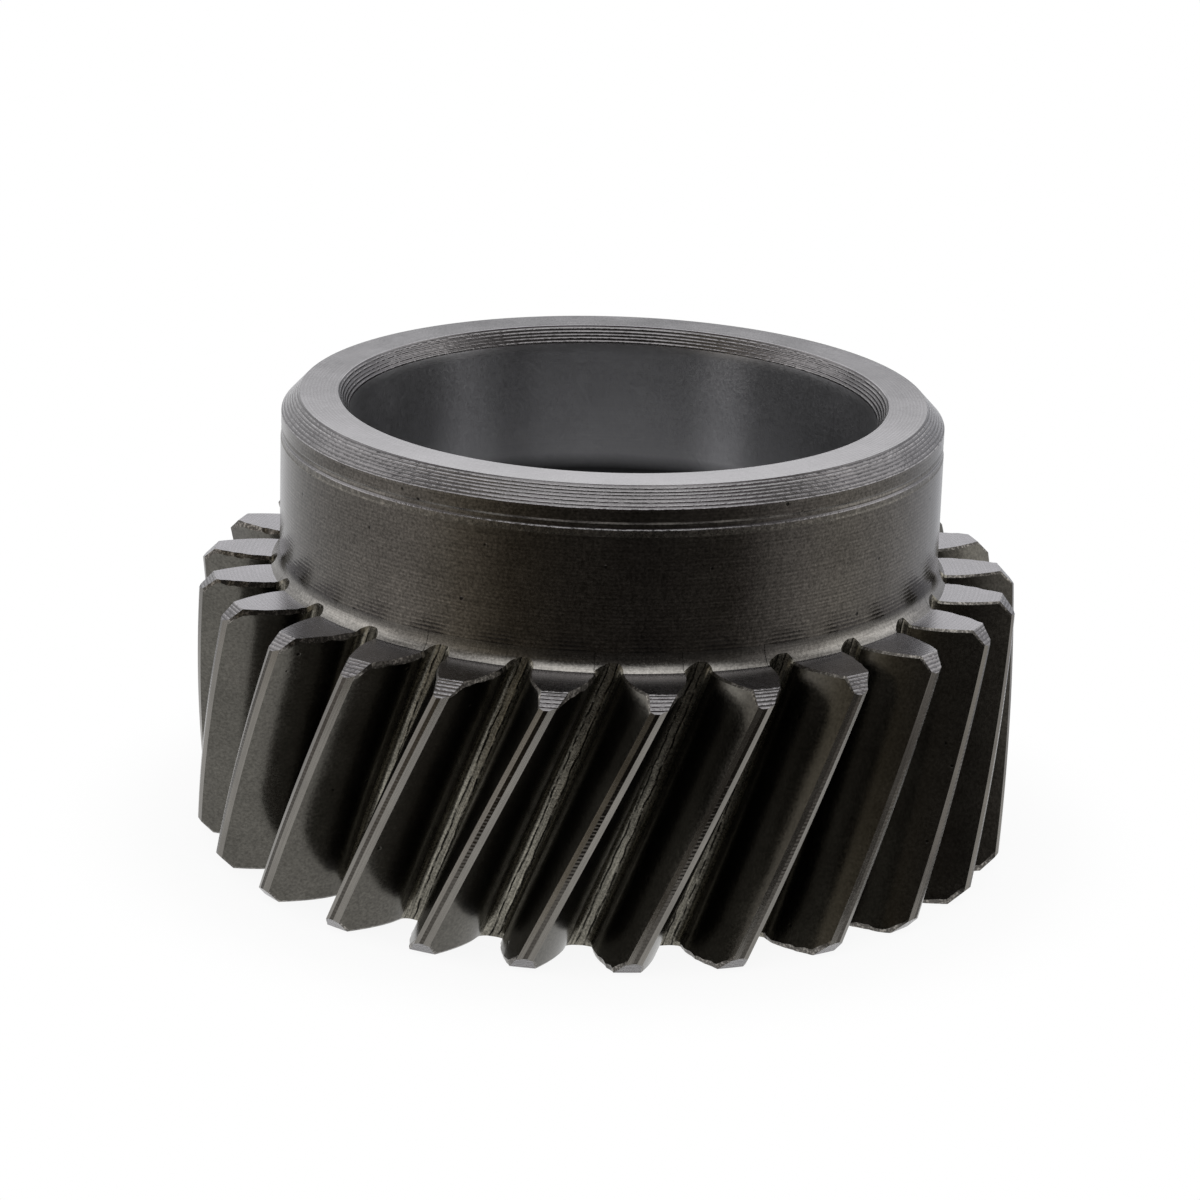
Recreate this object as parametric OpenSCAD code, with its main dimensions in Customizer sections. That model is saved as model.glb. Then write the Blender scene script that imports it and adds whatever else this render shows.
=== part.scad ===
// Helical gear with a plain hub: one turned and hobbed piece of steel, pressed on a shaft by its bore.
// The bore's axis is Z. The tooth end face that the gear stands on is at z = 0, and the hub points up.

/* [Teeth] */
// Number of teeth
teeth = 25; // [23:1:29]
// Module across the helix, which sets the pitch circle with the tooth count
normal_module = 2.5; // [2.35:0.05:3]
// Pressure angle across the helix, in degrees
pressure_angle = 20; // [17.5:0.5:22.5]
// Helix angle at the pitch circle, in degrees, right-hand
helix_angle = 23; // [0:0.5:30]
// Thickness of a tooth along the pitch circle
tooth_thickness = 4.8; // [4.4:0.05:5]
// Height of the teeth above the pitch circle
addendum = 3.7; // [2.6:0.05:4]
// Depth of the tooth spaces below the pitch circle
dedendum = 3.55; // [2.9:0.05:4.5]
// Length of the teeth along the axis
face_width = 25.4; // [10:0.1:60]
// Radius of the corners at the bottom of a tooth space
root_fillet = 0.75; // [0.3:0.05:0.8]

/* [Tooth edges] */
// Width of the long bevel on each side of a tooth tip, along the tip circle
tip_bevel_width = 0.42; // [0.1:0.02:0.5]
// Height of that long bevel, along the radius
tip_bevel_height = 0.28; // [0.1:0.02:0.6]
// Size of the 45 degree chamfer turned on the tips at both ends
end_chamfer = 1.35; // [0.5:0.05:2.5]
// Width of the deburring bevel on the sharp edges, where a leaning flank overhangs its end face
sharp_bevel_width = 0.3; // [0.1:0.05:0.5]
// Width of the deburring bevel on the blunt edges, at the other end of each flank
blunt_bevel_width = 0.12; // [0.04:0.02:0.3]
// Length of both deburring bevels, along the axis
flank_bevel_length = 0.45; // [0.1:0.05:1.5]

/* [Hub] */
// Length of the hub above the teeth
hub_length = 16.1; // [7:0.1:40]
// Clearance that keeps the hub below the tooth roots, so that the hob passes it
hob_clearance = 0.2; // [0.1:0.05:1.5]
// Radius of the fillet at the foot of the hub
hub_fillet = 2; // [1.65, 2]
// Height of the fillet, less than its radius, so that it meets the tooth end face in a corner
fillet_height = 1.6; // [0.5, 1.6]
// Width of the chamfer at the hub's end, along the radius
hub_chamfer_width = 1.6; // [0.5:0.1:2.5]
// Length of the chamfer at the hub's end, along the axis
hub_chamfer_length = 1.7; // [0.5:0.1:2.5]

/* [Seat at the hub's end] */
// Length from the hub's end to the end of the finish-turned seat
seat_length = 2.85; // [2.7:0.05:4]
// Depth of the seat below the hub's surface
seat_drop = 0.05; // [0.02:0.01:0.2]
// Width of the V groove that ends the seat
groove_width = 0.4; // [0.2:0.05:0.8]
// Depth of that groove below the hub's surface
groove_depth = 0.14; // [0.1:0.02:0.4]
// Length of the rough band under the groove
band_length = 0.75; // [0.3:0.05:1.5]
// Depth of the rough band below the hub's surface
band_drop = 0.06; // [0.02:0.01:0.2]

/* [Bore] */
// Diameter of the bore
bore_d = 48; // [30:0.5:53]
// Width of the chamfers at both mouths of the bore, along the radius
bore_chamfer_width = 1; // [0.2:0.1:1.5]
// Length of those chamfers, along the axis
bore_chamfer_length = 1.5; // [0.2:0.1:3]

/* [Hidden] */

$fn = 180;
steel_colour = [0.27, 0.26, 0.25];

// Pitch, base, tip and root circles, in the plane across the axis
transverse_angle = atan(tan(pressure_angle) / cos(helix_angle));
pitch_r = teeth * normal_module / cos(helix_angle) / 2;
base_r = pitch_r * cos(transverse_angle);
tip_r = pitch_r + addendum;
root_r = pitch_r - dedendum;

// Hub and bore
hub_r = root_r - hob_clearance;
bore_r = bore_d / 2;
height = face_width + hub_length;
fillet_z = face_width + fillet_height;
fillet_centre_r = hub_r + hub_fillet;
fillet_foot_r = fillet_centre_r - sqrt(hub_fillet * hub_fillet - fillet_height * fillet_height);

// Seat at the hub's end, as heights
seat_z = height - seat_length;
groove_z = seat_z - groove_width;
band_z = groove_z - band_length;

// Steps along the curves of a tooth space, and how far its cut runs past the blank
flank_steps = 4;
fillet_steps = 2;
helix_steps = 6;
cut_margin = 0.05;
cut_reach = 1;

// Turn of the teeth for each millimetre of height, in degrees
turn_per_mm = to_degrees(tan(helix_angle) / pitch_r);

function to_degrees(radians) = radians * 180 / PI;
function polar(r, angle) = r * [cos(angle), sin(angle)];

// Involute function, in degrees
function involute(angle) = to_degrees(tan(angle)) - angle;

// Half of a tooth and half of a tooth space, as angles at radius r, which is not inside the base circle
function half_tooth(r) =
    to_degrees(tooth_thickness / pitch_r) / 2 + involute(transverse_angle) - involute(acos(base_r / r));
function half_space(r) = 180 / teeth - half_tooth(r);

// Bottom corner of a tooth space: a circle that touches the root circle and the wall above it
corner_r = root_r + root_fillet;
wall_r = max(base_r, sqrt(corner_r * corner_r - root_fillet * root_fillet));
wall_angle = half_space(wall_r);
corner_angle = wall_angle - asin(root_fillet / corner_r);
function corner_point(step) =
    let (
        share = step / fillet_steps,
        direction = (corner_angle + 180) * (1 - share) + (wall_angle + 90) * share,
        point = polar(corner_r, corner_angle) + polar(root_fillet, direction)
    )
    [norm(point), atan2(point[1], point[0])];

// Involute flank from the wall up to the long bevel at the tip
bevel_r = tip_r - tip_bevel_height;
function flank_point(step) =
    let (r = wall_r + (bevel_r - wall_r) * step / flank_steps)
    [r, half_space(r)];

// Long bevel at the tip, carried a little past the tip circle, and then straight out of the blank
bevel_slope = to_degrees(tip_bevel_width / tip_r) / tip_bevel_height;
past_tip_r = tip_r + cut_margin;
past_tip_angle = half_space(bevel_r) + bevel_slope * (past_tip_r - bevel_r);
outside_r = (tip_r + cut_reach) / cos(180 / teeth);

// One side of a tooth space from its floor outwards, as [radius, half angle]
lower_side = concat(
    [for (step = [0:fillet_steps]) corner_point(step)],
    [for (step = [(wall_r > base_r ? 1 : 0):flank_steps - 1]) flank_point(step)]
);
upper_side = [
    [bevel_r, half_space(bevel_r)],
    [past_tip_r, past_tip_angle],
    [outside_r, past_tip_angle]
];

// Section of a tooth space at height z, with each flank moved out by its deburring bevel
function space_side(widening) = concat(
    [for (p = lower_side) [p[0], p[1] + to_degrees(widening / p[0])]],
    upper_side
);
function space_section(z, right_widening, left_widening) =
    let (
        right = space_side(right_widening),
        left = space_side(left_widening),
        last = len(right) - 1,
        turn = 180 / teeth + turn_per_mm * z
    )
    concat(
        [for (i = [0:last]) concat(polar(right[i][0], turn + right[i][1]), z)],
        [for (i = [last:-1:0]) concat(polar(left[i][0], turn - left[i][1]), z)]
    );

// Heights of the sections, with the widening on the right and on the left, as seen from outside:
// bevels at both ends and plain flanks between
bevel_overrun = 1 + cut_margin / flank_bevel_length;
sharp = sharp_bevel_width * bevel_overrun;
blunt = blunt_bevel_width * bevel_overrun;
plain_length = face_width - 2 * flank_bevel_length;
levels = concat(
    [[-cut_reach, sharp, blunt], [-cut_margin, sharp, blunt]],
    [for (step = [0:helix_steps]) [flank_bevel_length + plain_length * step / helix_steps, 0, 0]],
    [[face_width + cut_margin, blunt, sharp], [fillet_z + cut_reach, blunt, sharp]]
);

// The space between two teeth: sections joined by triangles along the helix
module tooth_space() {
    sections = [for (level = levels) space_section(level[0], level[1], level[2])];
    count = len(sections[0]);
    top = len(sections) - 1;
    points = [for (section = sections) each section];
    bottom_face = [for (i = [count - 1:-1:0]) i];
    top_face = [for (i = [0:count - 1]) top * count + i];
    side_faces = [
        for (k = [0:top - 1], i = [0:count - 1])
            let (a = k * count + i, b = k * count + (i + 1) % count)
            each [[a, b, b + count], [a, b + count, a + count]]
    ];
    polyhedron(points = points, faces = concat([bottom_face, top_face], side_faces));
}

// Half section of the turned blank: the outline of disc, hub and bore, with the fillet scooped out
module blank_section() {
    difference() {
        polygon([
            [bore_r + bore_chamfer_width, 0],
            [tip_r - end_chamfer, 0],
            [tip_r, end_chamfer],
            [tip_r, face_width - end_chamfer],
            [tip_r - end_chamfer, face_width],
            [fillet_foot_r, face_width],
            [hub_r, fillet_z],
            [hub_r, band_z - band_drop],
            [hub_r - band_drop, band_z],
            [hub_r - band_drop, groove_z],
            [hub_r - groove_depth, groove_z + groove_width / 2],
            [hub_r - seat_drop, seat_z],
            [hub_r - seat_drop, height - hub_chamfer_length],
            [hub_r - seat_drop - hub_chamfer_width, height],
            [bore_r + bore_chamfer_width, height],
            [bore_r, height - bore_chamfer_length],
            [bore_r, bore_chamfer_length]
        ]);
        intersection() {
            translate([fillet_centre_r, fillet_z])
                circle(r = hub_fillet);
            translate([hub_r, face_width])
                square([hub_fillet, fillet_height]);
        }
    }
}

// The finished gear: the blank with its tooth spaces hobbed out
module gear() {
    color(steel_colour)
        difference() {
            rotate_extrude()
                blank_section();
            for (i = [0:teeth - 1])
                rotate(i * 360 / teeth)
                    tooth_space();
        }
}

gear();
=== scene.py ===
import math

import bpy
import numpy as np
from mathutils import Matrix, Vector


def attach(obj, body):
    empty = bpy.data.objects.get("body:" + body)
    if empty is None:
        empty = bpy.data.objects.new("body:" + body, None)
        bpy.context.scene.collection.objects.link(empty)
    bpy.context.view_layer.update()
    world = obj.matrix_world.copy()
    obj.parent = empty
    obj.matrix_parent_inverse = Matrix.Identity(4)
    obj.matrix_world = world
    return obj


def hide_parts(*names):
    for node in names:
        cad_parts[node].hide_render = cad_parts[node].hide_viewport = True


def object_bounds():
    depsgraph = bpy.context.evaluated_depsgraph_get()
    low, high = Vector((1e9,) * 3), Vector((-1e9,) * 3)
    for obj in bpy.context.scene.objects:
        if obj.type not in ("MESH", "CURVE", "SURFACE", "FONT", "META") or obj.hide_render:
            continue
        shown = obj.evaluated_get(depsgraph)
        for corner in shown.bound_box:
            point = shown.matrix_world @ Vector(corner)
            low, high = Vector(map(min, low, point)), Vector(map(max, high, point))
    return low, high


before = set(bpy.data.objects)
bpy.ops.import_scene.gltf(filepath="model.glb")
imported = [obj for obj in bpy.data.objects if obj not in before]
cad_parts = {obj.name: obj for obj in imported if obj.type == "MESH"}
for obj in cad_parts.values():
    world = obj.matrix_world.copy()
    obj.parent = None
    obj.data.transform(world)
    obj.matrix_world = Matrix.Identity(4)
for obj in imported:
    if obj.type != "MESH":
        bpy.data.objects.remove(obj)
CAD_BOX = [list(corner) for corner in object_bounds()]

bl_info = {
    "name": "Helical gear",
    "version": (1, 0, 0),
    "blender": (4, 5, 0),
    "location": "View3D > Sidebar > Gear",
    "description": "A hobbed helical gear with a plain hub, and a small photo stage for it",
    "category": "Object",
}

MM = 0.001
PI = math.pi

# Points across one tooth, counted on one side of its middle, and rows along the part
LAND_POINTS = 2
TIP_BEVEL_POINTS = 2
INVOLUTE_POINTS = 16
WALL_POINTS = 3
CORNER_POINTS = 6
FLOOR_POINTS = 3
HELIX_ROWS = 17
FILLET_ROWS = 8
BORE_ROWS = 12
# One column of hub and bore for so many columns of the teeth
HUB_SHARE = 4
# Radii that differ by less than this are the same
TOUCH = 1e-9
# Edges that turn by more than this are sharp
SHARP_ANGLE = math.radians(19)

# Radii of the rings on the lower and the upper end face of the teeth. All lengths here are in millimetres
SOLE_INNER_RINGS = [28.5, 29.6]
SOLE_ROOT_GAP = 0.1
SOLE_OUTER_RINGS = [31.6, 33.0, 34.6]
FACE_RINGS = [34.8, 33.4, 32.4, 31.5]
# Where the bore's grid meets the teeth on the lower face, and the hub's grid meets them above the fillet
SOLE_JOIN_R = 27.4
HUB_JOIN_HEIGHT = 0.6
# Rows of the hub above its foot, the bore's first and last row from its chamfers, and the lengths at its
# ends in which its columns don't turn
HUB_ROWS = [2.5, 5, 7.5]
BORE_MARGIN = 1
TURN_MARGIN = 3
# Radii from which the lay on the end faces counts, clear of the lay on the flanks
SOLE_LAY_R = 40.0
FACE_LAY_R = 66.0
# Wall of a tooth space below the base circle: how far it flares, and how far above the corner it ends
WALL_FLARE = 0.05
WALL_END = 0.02
# Deburring bevels: where they fade out below the tip and above the root
BEVEL_TIP_FADE = 0.9
BEVEL_ROOT_FADE = 0.3
# Noise of their ragged edges: its seed, and how many columns each value is averaged over
RAGGED_SEED = 11
RAGGED_COLUMNS = 2
# Their ragged width, length and burr: the least share of the size, and what the noise adds to it
RAGGED_WIDTH = (0.55, 0.9)
RAGGED_LENGTH = (0.6, 0.8)
RAGGED_BURR = (-0.3, 1.6)
# Width of a bevel half way along it, and where the even rows of the flank start, as shares of its size
BEVEL_SAG = 0.45
BEVEL_CLEAR = 1.5
# Share of the gap above the tool track at which its steep side ends
TRACK_LIP = 0.8

# Span that holds most of a noise texture's values
NOISE_SPAN = (0.3, 0.7)
# Clouds of the oil film, dashes on the feed lines, and the length over which the hub's feed lines fade
FILM_SIZE = 5
DASH_SIZE = 0.45
FADE_LENGTH = 5
# Depths of drag marks, root lines and pits, the sway of the root lines, and how dark a pit is
DRAG_DEPTH = 0.008
ROOT_LINE_DEPTH = 0.03
ROOT_LINE_SWAY = 0.28
PIT_DEPTH = 0.02
PIT_DARK = 0.25
# Change of the gloss from grain to grain
GRAIN_GLOSS = 0.15

# Floor: its grid, the flat disc in its middle, and how far it lies under the gear
FLOOR_RINGS = 12
FLOOR_COLUMNS = 96
FLOOR_MIDDLE_R = 2
FLOOR_DROP = 0.02
# Its glow is weakest inside this radius and full from this share of the floor's radius
GLOW_START_R = 40
GLOW_END_SHARE = 0.8
GLOW_LEAST = 0.9
# Soft boxes: name, place in metres, width in metres and power in watts, and the height they are aimed at
SOFT_BOXES = [
    ("Left_soft_box", (-0.5, 0.1, 0.25), 0.4, 0.4),
    ("Right_soft_box", (0.5, 0.1, 0.25), 0.4, 0.4),
]
AIM_HEIGHT = 0.02
SENSOR_WIDTH = 36
CLIP_START = 0.01


def linear_colour(hex_code):
    """sRGB hex value as a linear colour with alpha: ((c + 0.055) / 1.055) ** 2.4 above the straight toe."""
    codes = np.array([int(hex_code[i:i + 2], 16) for i in (1, 3, 5)]) / 255
    toe = codes / 12.92
    curve = ((codes + 0.055) / 1.055) ** 2.4
    return tuple(float(c) for c in np.where(codes <= 0.04045, toe, curve)) + (1.0,)


def length_prop(name, description, millimetres):
    """A length, given in millimetres and kept in metres."""
    return bpy.props.FloatProperty(
        name=name, description=description, default=millimetres * MM, unit="LENGTH", precision=5)


def angle_prop(name, description, degrees):
    """An angle, given in degrees and kept in radians."""
    return bpy.props.FloatProperty(
        name=name, description=description, default=math.radians(degrees), subtype="ANGLE")


def colour_prop(name, description, hex_code):
    """A colour, given as an sRGB hex value and kept linear."""
    return bpy.props.FloatVectorProperty(
        name=name, description=description, default=linear_colour(hex_code),
        size=4, subtype="COLOR", min=0, max=1)


class GearSizes(bpy.types.PropertyGroup):
    """Sizes of the gear, in the frame of its solid model."""
    teeth: bpy.props.IntProperty(name="Teeth", description="Number of teeth", default=25, min=12, max=60)
    normal_module: length_prop("Normal module", "Module across the helix", 2.5)
    pressure_angle: angle_prop("Pressure angle", "Pressure angle across the helix", 20)
    helix_angle: angle_prop("Helix angle", "Helix angle at the pitch circle, right-hand", 23)
    tooth_thickness: length_prop("Tooth thickness", "Thickness of a tooth along the pitch circle", 4.8)
    addendum: length_prop("Addendum", "Height of the teeth above the pitch circle", 3.7)
    dedendum: length_prop("Dedendum", "Depth of the tooth spaces below the pitch circle", 3.55)
    face_width: length_prop("Face width", "Length of the teeth along the axis", 25.4)
    root_fillet: length_prop("Root fillet", "Radius of the corners of a tooth space", 0.75)
    right_bevel_width: length_prop(
        "Right bevel width", "Width of the long bevel on a tip's right, round the tip", 0.6)
    right_bevel_height: length_prop("Right bevel height", "Height of that bevel, along the radius", 0.25)
    left_bevel_width: length_prop(
        "Left bevel width", "Width of the long bevel on a tip's left, round the tip", 0.48)
    left_bevel_height: length_prop("Left bevel height", "Height of that bevel, along the radius", 0.18)
    end_chamfer: length_prop("End chamfer", "45 degree chamfer on the tips at both ends", 1.35)
    sharp_bevel_width: length_prop("Sharp edge bevel", "Deburring bevel on the sharp flank ends", 0.3)
    sharp_bevel_length: length_prop("Sharp edge bevel length", "Length of that bevel, along the axis", 0.45)
    blunt_bevel_width: length_prop("Blunt edge bevel", "Deburring bevel on the blunt flank ends", 0.12)
    blunt_bevel_length: length_prop("Blunt edge bevel length", "Length of that bevel, along the axis", 0.2)
    burr: length_prop("Burr", "Height of the burr left along the sharp flank ends", 0.05)
    hub_length: length_prop("Hub length", "Length of the hub above the teeth", 16.1)
    hob_clearance: length_prop("Hob clearance", "Clearance that keeps the hub below the tooth roots", 0.2)
    hub_fillet: length_prop("Hub fillet", "Radius of the fillet at the foot of the hub", 2)
    fillet_height: length_prop("Fillet height", "Height at which that fillet meets the hub", 1.6)
    hub_chamfer_width: length_prop("Hub chamfer width", "Chamfer at the hub's end, along the radius", 1.6)
    hub_chamfer_length: length_prop("Hub chamfer length", "Chamfer at the hub's end, along the axis", 1.7)
    seat_length: length_prop("Seat length", "Length from the hub's end to the end of the seat", 2.85)
    seat_drop: length_prop("Seat drop", "Depth of the seat below the hub's surface", 0.05)
    groove_width: length_prop("Groove width", "Width of the V groove that ends the seat", 0.4)
    groove_depth: length_prop("Groove depth", "Depth of the groove below the hub's surface", 0.14)
    band_length: length_prop("Band length", "Length of the rough band under the groove", 0.75)
    band_drop: length_prop("Band drop", "Depth of the rough band below the hub's surface", 0.06)
    torn_length: length_prop("Torn step length", "Length of the torn step that ends the band", 0.16)
    track_gap: length_prop("Track gap", "Distance from the V groove to the tool track under it", 0.13)
    track_width: length_prop("Track width", "Width of that track", 0.26)
    track_depth: length_prop("Track depth", "Depth of that track below the rough band", 0.11)
    bore_diameter: length_prop("Bore diameter", "Diameter of the bore", 48)
    bore_chamfer_width: length_prop("Bore chamfer width", "Bore's end chamfers, along the radius", 1)
    bore_chamfer_length: length_prop("Bore chamfer length", "Bore's end chamfers, along the axis", 1.5)
    edge_break: length_prop("Edge break", "Width of the broken edges on the turned corners", 0.03)


class GearFinish(bpy.types.PropertyGroup):
    """Colours of the steel as each cut left it."""
    hub: colour_prop("Hub", "Oiled hub, dark from hardening", "#5a5753")
    torn: colour_prop("Torn line", "Torn metal of the band under the groove", "#625f5a")
    turned: colour_prop("Turned end", "Turned end face of the hub", "#929093")
    chamfer: colour_prop("Chamfers", "Turned chamfers with clear feed lines", "#747273")
    fillet: colour_prop("Fillet", "Fillet at the hub's foot", "#5c5a57")
    end_face: colour_prop("Tooth end faces", "Turned end faces of the teeth", "#838185")
    land: colour_prop("Tip lands", "Turned lands on the tooth tips", "#4a4743")
    tip_bevel: colour_prop("Tip bevels", "Long bevels along the tooth tips", "#787570")
    flank: colour_prop("Flanks", "Smooth tooth flanks", "#575550")
    root: colour_prop("Roots", "Hobbed floors of the tooth spaces", "#76736a")
    edge: colour_prop("Edges", "Deburred edges at the ends of the flanks", "#64615d")
    bore: colour_prop("Bore", "Honed bore", "#9a9a9c")


class StageSettings(bpy.types.PropertyGroup):
    """The photo stage: floor, lamps, background and camera."""
    floor_radius: length_prop("Floor radius", "Radius of the round light table that the gear stands on", 66)
    floor_colour: colour_prop("Floor", "Pale paper of the floor", "#f4f4f4")
    box_light: bpy.props.FloatProperty(
        name="Top light", default=1.65,
        description="Strength of the long soft box overhead, where 1 is white")
    focal_length: bpy.props.FloatProperty(
        name="Focal length", default=131.7,
        description="Focal length of the camera, in millimetres on a 36 mm sensor")
    distance: length_prop("Distance", "From the middle of the hub's end to the camera", 399.8)
    height_angle: angle_prop("Height angle", "How high the camera stands above the hub's end", 15.47)
    pitch: angle_prop("Pitch", "How far the camera looks down", 18.152)
    yaw: angle_prop("Yaw", "How far the camera looks to the side", -0.098)
    roll: angle_prop("Roll", "How far the camera is tipped", 1.803)
    turn: angle_prop("Turn", "Turn of the camera round the gear, which sets the teeth's places", -0.6)


# Walls of the studio by compass, as the steel mirrors them: 0 is the camera's side and left is negative
WALL_COLOURS = [
    (-180, "#f4f4f6"), (-130, "#e8e8e9"), (-75, "#efebe8"), (-52, "#b4ac9d"), (-36, "#6b6355"),
    (-15, "#4c4741"), (12, "#3a3633"), (45, "#5b5753"), (68, "#cdcac9"), (85, "#e6e3de"),
    (130, "#e2e2e6"), (155, "#cdced3"), (180, "#f4f4f6"),
]


def involute(angle):
    """Involute function: the tangent of an angle less the angle."""
    return np.tan(angle) - angle


class ToothShape:
    """Circles and section of the teeth, worked out from the sizes in millimetres."""

    def __init__(self, size):
        self.transverse = math.atan(math.tan(size["pressure_angle"]) / math.cos(size["helix_angle"]))
        self.pitch_r = size["teeth"] * size["normal_module"] / math.cos(size["helix_angle"]) / 2
        self.base_r = self.pitch_r * math.cos(self.transverse)
        self.tip_r = self.pitch_r + size["addendum"]
        self.root_r = self.pitch_r - size["dedendum"]
        self.turn_per_mm = math.tan(size["helix_angle"]) / self.pitch_r
        self.half_pitch = PI / size["teeth"]
        self.thickness = size["tooth_thickness"]
        self.size = size

    def half_tooth(self, r):
        """Half a tooth as an angle at radius r: s / 2rp + inv(at) - inv(acos(rb / r))."""
        on_flank = np.arccos(np.minimum(1, self.base_r / np.asarray(r, float)))
        return self.thickness / (2 * self.pitch_r) + involute(self.transverse) - involute(on_flank)

    def side(self, bevel_width, bevel_height):
        """One side of a tooth from its middle to the middle of the next space, as radii, angles and zones.
        The land is an arc, the bevel a straight line, the flank an involute, the wall below the base circle
        flares a little, the corner is a quarter circle and the floor is an arc."""
        size = self.size
        bevel_r = self.tip_r - bevel_height
        bevel_a = self.half_tooth(bevel_r)
        land_a = bevel_a - bevel_width / self.tip_r
        share = np.linspace(0, 1, LAND_POINTS + 1)[1:]
        land = (np.full(LAND_POINTS, self.tip_r), land_a * share)
        share = np.linspace(0, 1, TIP_BEVEL_POINTS + 1)[1:]
        bevel = (self.tip_r + (bevel_r - self.tip_r) * share, land_a + (bevel_a - land_a) * share)
        flank_r = np.linspace(bevel_r, self.base_r, INVOLUTE_POINTS + 1)[1:]
        chamfer_r = self.tip_r - size["end_chamfer"]
        flank_r[np.argmin(np.abs(flank_r - chamfer_r))] = chamfer_r
        flank = (flank_r, self.half_tooth(flank_r))
        corner_r = self.root_r + size["root_fillet"]
        share = np.linspace(0, 1, WALL_POINTS + 1)[1:]
        wall_r = self.base_r + (corner_r + WALL_END - self.base_r) * share
        wall_a = self.half_tooth(self.base_r) + WALL_FLARE * share / self.base_r
        corner_a = wall_a[-1] + size["root_fillet"] / corner_r
        swing = np.linspace(0, PI / 2, CORNER_POINTS + 1)[1:]
        corner = (
            corner_r - size["root_fillet"] * np.sin(swing),
            corner_a - size["root_fillet"] / corner_r * np.cos(swing),
        )
        share = np.linspace(0, 1, FLOOR_POINTS + 1)[1:]
        floor_a = corner[1][-1]
        floor = (np.full(FLOOR_POINTS, self.root_r), floor_a + (self.half_pitch - floor_a) * share)
        parts = [land, bevel, flank, (wall_r, wall_a), corner, floor]
        radii = np.concatenate([p[0] for p in parts])
        angles = np.concatenate([p[1] for p in parts])
        zones = np.repeat(
            ["land", "tip_bevel", "flank", "flank", "root", "root"], [len(p[0]) for p in parts])
        return radii, angles, zones

    def section(self):
        """A whole pitch, from the point after one space's middle to the next space's middle."""
        left_r, left_a, _ = self.side(self.size["left_bevel_width"], self.size["left_bevel_height"])
        r, a, zone = self.side(self.size["right_bevel_width"], self.size["right_bevel_height"])
        radii = np.concatenate([left_r[-2::-1], [self.tip_r], r])
        angles = np.concatenate([-left_a[-2::-1], [0.0], a])
        # The zone of a column is that of the strip from it to the next column
        strips = np.concatenate([zone[-1::-1], zone])[1:]
        strips = np.concatenate([strips, zone[-1:]])[:len(radii)]
        return radii, angles, strips


class MeshParts:
    """Collects the grids of one closed mesh: points, faces, the finish of each face and the lay of its
    corners in millimetres."""

    def __init__(self):
        self.points = []
        self.count = 0
        self.faces = {3: [], 4: []}
        self.finish = {3: [], 4: []}
        self.lay = {3: [], 4: []}

    def add_points(self, xyz):
        """Adds a grid of points and returns their numbers in the same shape."""
        shape = xyz.shape[:-1]
        self.points.append(xyz.reshape(-1, 3))
        numbers = np.arange(np.prod(shape)).reshape(shape) + self.count
        self.count += numbers.size
        return numbers

    def add_faces(self, corners, lay, finish):
        """Adds faces given as an array of corner numbers, with the lay of each corner and a finish per
        face. A four-cornered face with two equal neighbours becomes a triangle, and a thinner one is
        dropped."""
        sides = corners.shape[1]
        if sides == 3:
            whole = (corners != np.roll(corners, -1, 1)).all(1)
            self._keep(3, corners[whole], lay[whole], finish[whole])
            return
        a, b, c, d = corners.T
        left = a == d
        right = b == c
        whole = ~left & ~right
        self._keep(4, corners[whole], lay[whole], finish[whole])
        for mask, pick in ((left & ~right, [0, 1, 2]), (right & ~left, [0, 1, 3])):
            self._keep(3, corners[mask][:, pick], lay[mask][:, pick], finish[mask])

    def _keep(self, sides, corners, lay, finish):
        self.faces[sides].append(corners)
        self.lay[sides].append(lay)
        self.finish[sides].append(finish)

    def add_grid(self, numbers, lay, finish):
        """Faces of a grid of point numbers with rows from the bottom inwards to the top: each face joins
        the corners (k, i), (k, i + 1), (k + 1, i + 1), (k + 1, i)."""
        def cells(values):
            return np.stack([values[:-1, :-1], values[:-1, 1:], values[1:, 1:], values[1:, :-1]], 2)
        corners = cells(numbers).reshape(-1, 4)
        self.add_faces(corners, cells(lay).reshape(-1, 4, 3), np.broadcast_to(
            finish, (numbers.shape[0] - 1, numbers.shape[1] - 1)).reshape(-1))

    def mesh(self, name):
        """One Blender mesh of all faces, with unused points left out."""
        quads = np.concatenate(self.faces[4])
        triangles = np.concatenate(self.faces[3])
        corners = np.concatenate([quads.ravel(), triangles.ravel()])
        used, renumbered = np.unique(corners, return_inverse=True)
        points = np.concatenate(self.points)[used] * MM
        quads = renumbered[:quads.size].reshape(-1, 4)
        triangles = renumbered[quads.size:].reshape(-1, 3)
        mesh = bpy.data.meshes.new(name)
        mesh.from_pydata(points.tolist(), [], quads.tolist() + triangles.tolist())
        finish = np.concatenate(self.finish[4] + self.finish[3])
        mesh.polygons.foreach_set("material_index", finish.astype(np.int32))
        mesh.polygons.foreach_set("use_smooth", np.ones(len(finish), bool))
        lay = np.concatenate(
            [np.concatenate(self.lay[4]).reshape(-1, 3), np.concatenate(self.lay[3]).reshape(-1, 3)])
        attribute = mesh.attributes.new("lay", "FLOAT_VECTOR", "CORNER")
        attribute.data.foreach_set("vector", lay.astype(np.float32).ravel())
        mesh.set_sharp_from_angle(angle=SHARP_ANGLE)
        mesh.validate()
        mesh.update()
        return mesh


# Finishes in the order of the gear's material slots
FINISHES = [
    "hub", "torn", "turned", "chamfer", "fillet", "end_face",
    "land", "tip_bevel", "flank", "root", "edge", "bore",
]
FINISH_NUMBER = {name: number for number, name in enumerate(FINISHES)}


def polar(r, angle, z):
    """Points at radius r, angle and height z, as an array of x, y, z."""
    r, angle, z = np.broadcast_arrays(r, angle, z)
    return np.stack([r * np.cos(angle), r * np.sin(angle), z], -1)


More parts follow.
